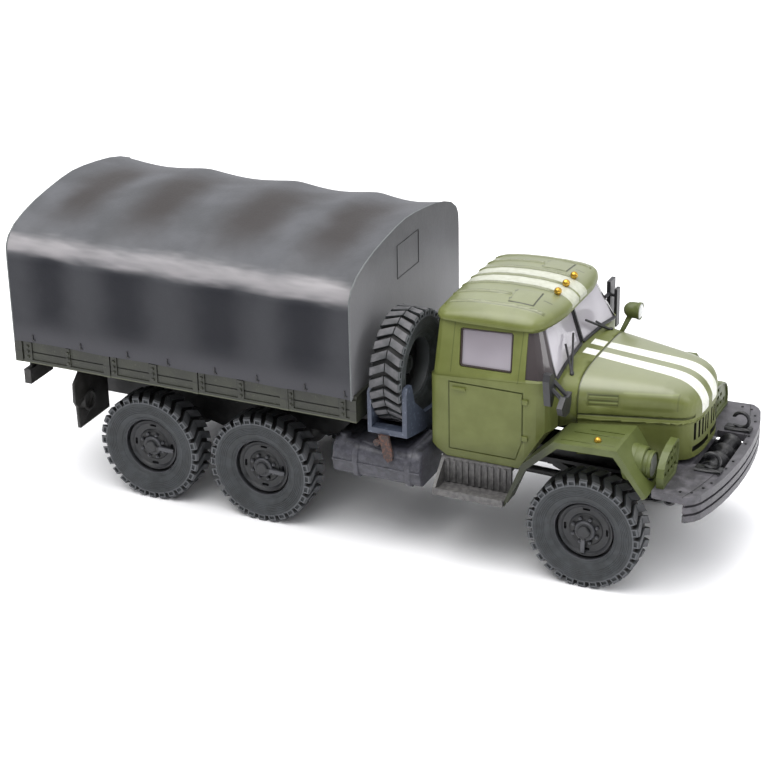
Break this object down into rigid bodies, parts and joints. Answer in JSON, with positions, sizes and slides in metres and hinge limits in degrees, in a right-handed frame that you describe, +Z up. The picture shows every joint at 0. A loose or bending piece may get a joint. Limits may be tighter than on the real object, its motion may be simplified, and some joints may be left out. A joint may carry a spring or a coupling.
{
  "type": "military cargo truck model",
  "caption": "Small-scale model of a bonneted three-axle military cargo truck with a canvas-style tilt, hollow cab with windows, spare wheel carrier, winch bumper and wheel sets that roll.",
  "frame": {"origin": "on the ground under the middle of the whole model's box", "axes": "+X forward along the truck, +Y to its left, +Z up"},
  "size_m": [0.1672, 0.059, 0.0688],
  "materials": {
    "cab_paint": "satin light olive green",
    "wing_paint": "satin olive green",
    "bed_green": "matt dark olive",
    "tilt_grey": "matt dark grey moulded cover",
    "chassis_grey": "matt dark grey",
    "bumper_grey": "satin dark grey",
    "rim_grey": "satin near black",
    "tyre": "matt",
    "carrier_blue": "matt blue grey",
    "rust": "matt brown",
    "steel": "plain",
    "glass": "clear",
    "lamp_glass": "clear",
    "amber": "gloss",
    "red_lamp": "gloss",
    "black_trim": "matt black",
    "interior": "matt dark brown"
  },
  "bodies": {
    "truck": {"front_axle": "chassis_grey", "middle_axle": "chassis_grey", "rear_axle": "chassis_grey", "spare_tyre": "tyre", "spare_rim": "rim_grey", "spare_carrier": "carrier_blue", "carrier_latch": "rust", "rails": "chassis_grey", "crossmembers": "chassis_grey", "leaf_springs": "chassis_grey", "gearbox": "chassis_grey", "drive_shafts": "chassis_grey", "exhaust": "chassis_grey", "fuel_tanks": "chassis_grey", "steps": "chassis_grey", "bumper": "bumper_grey", "winch": "bumper_grey", "tow_hooks": "black_trim", "front_wings": "wing_paint", "headlamps": "wing_paint", "headlamp_lenses": "lamp_glass", "headlamp_guards": "wing_paint", "hood": "cab_paint", "radiator": "black_trim", "cab_shell": "cab_paint", "windscreen": "glass", "cab_windows": "glass", "cab_roof": "cab_paint", "dashboard": "interior", "steering_wheel": "black_trim", "seats": "interior", "marker_lamps": "amber", "door_fittings": "black_trim", "wipers": "black_trim", "mirrors": "black_trim", "spotlight": "wing_paint", "bed_floor": "bed_green", "bed_runners": "chassis_grey", "bed_bearers": "chassis_grey", "bed_sides": "bed_green", "headboard": "bed_green", "tailgate": "bed_green", "tilt": "tilt_grey", "mudflaps": "chassis_grey", "rear_bumperettes": "chassis_grey", "rear_hitch": "chassis_grey", "tail_lamps": "red_lamp"},
    "front_wheels": {"front_axle_pin": "steel", "front_rims": "rim_grey", "front_tyres": "tyre"},
    "middle_wheels": {"middle_axle_pin": "steel", "middle_rims": "rim_grey", "middle_tyres": "tyre"},
    "rear_wheels": {"rear_axle_pin": "steel", "rear_rims": "rim_grey", "rear_tyres": "tyre"}
  },
  "joints": [
    {"name": "front_roll", "type": "hinge", "parent": "truck", "child": "front_wheels", "pos_m": [0.0558, 0, 0.013], "axis": [0, 1, 0], "continuous": true},
    {"name": "middle_roll", "type": "hinge", "parent": "truck", "child": "middle_wheels", "pos_m": [-0.0221, 0, 0.013], "axis": [0, 1, 0], "continuous": true},
    {"name": "rear_roll", "type": "hinge", "parent": "truck", "child": "rear_wheels", "pos_m": [-0.0512, 0, 0.013], "axis": [0, 1, 0], "continuous": true}
  ]
}
